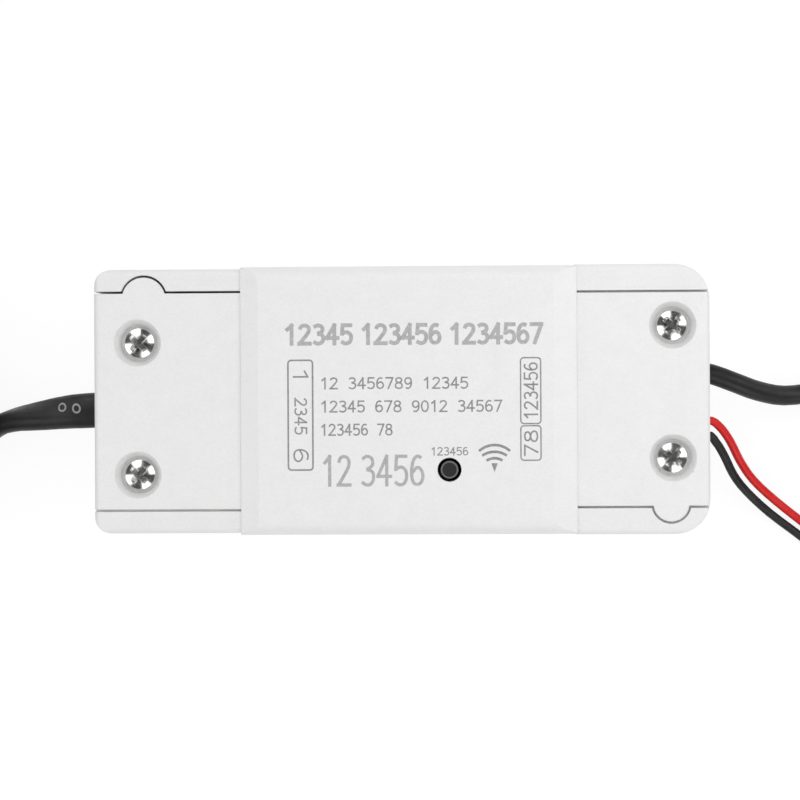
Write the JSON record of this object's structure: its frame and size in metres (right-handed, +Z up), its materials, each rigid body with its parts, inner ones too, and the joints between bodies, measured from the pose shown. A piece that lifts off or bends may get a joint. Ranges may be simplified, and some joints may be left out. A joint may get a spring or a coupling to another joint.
{
  "type": "garage door controller",
  "caption": "White wireless relay box for a garage door, with screwed end covers, a pairing button, a mains lead with plug, a relay lead and door sensor wires.",
  "frame": {"origin": "middle of the underside of the box, without its leads", "axes": "+X along the box from the mains end to the output end, +Y across it, +Z up through the button"},
  "size_m": [0.2622, 0.0653, 0.025],
  "materials": {
    "shell_white": "fine moulded texture",
    "cover_white": "fine moulded texture",
    "screw_steel": "zinc plated",
    "button_black": "moulded",
    "switch_black": "moulded",
    "contact_steel": "tinned",
    "board_green": "solder mask",
    "relay_blue": "moulded case",
    "ferrite": "sintered",
    "winding_tape": "taped winding",
    "can_sleeve": "shrunk sleeve",
    "dipped_blue": "dipped coat",
    "dipped_green": "dipped coat",
    "gold_track": "plated track",
    "clear_light": "clear resin",
    "terminal_green": "moulded",
    "core_brown": "insulated core",
    "lead_black": "flexible jacket",
    "wire_red": "flexible insulation",
    "tie_black": "smooth strip",
    "plug_black": "moulded",
    "plug_brass": "nickel free brass",
    "sensor_white": "moulded"
  },
  "bodies": {
    "housing": {"base_shell": "shell_white", "top_cover": "cover_white", "input_end_cover": "cover_white", "output_end_cover": "cover_white", "cover_screws": "screw_steel", "terminal_screws": "screw_steel", "switch_body": "switch_black", "transformer_foot": "switch_black", "bridge_rectifier": "switch_black", "switch_plate": "contact_steel", "switch_legs": "contact_steel", "radio_shield": "contact_steel", "relay_lead_tips": "contact_steel", "circuit_board": "board_green", "radio_board": "board_green", "relay": "relay_blue", "transformer_core": "ferrite", "filter_inductor": "ferrite", "transformer_winding": "winding_tape", "input_capacitor": "can_sleeve", "output_capacitor": "can_sleeve", "varistor": "dipped_blue", "fuse_resistor": "dipped_green", "radio_antenna": "gold_track", "status_light": "clear_light", "input_terminal": "terminal_green", "output_terminal": "terminal_green", "sensor_terminal": "terminal_green", "mains_cores": "core_brown", "mains_lead": "lead_black", "mains_lead_coil": "lead_black", "mains_lead_tail": "lead_black", "relay_lead": "lead_black", "relay_lead_coil": "lead_black", "relay_lead_ends": "lead_black", "relay_lead_cores": "lead_black", "sensor_wire_black": "lead_black", "sensor_coil_black": "lead_black", "sensor_tail_black": "lead_black", "sensor_wire_red": "wire_red", "sensor_coil_red": "wire_red", "sensor_tail_red": "wire_red", "mains_tie": "tie_black", "relay_lead_tie": "tie_black", "sensor_tie": "tie_black", "mains_plug": "plug_black", "plug_blades": "plug_brass", "sensor_body": "sensor_white"},
    "button": {"pairing_button": "button_black"}
  },
  "joints": [
    {"name": "button_press", "type": "slide", "parent": "housing", "child": "button", "axis": [0, 0, -1], "range_m": [0, 0.0005], "stiffness_N_per_m": 3000}
  ]
}
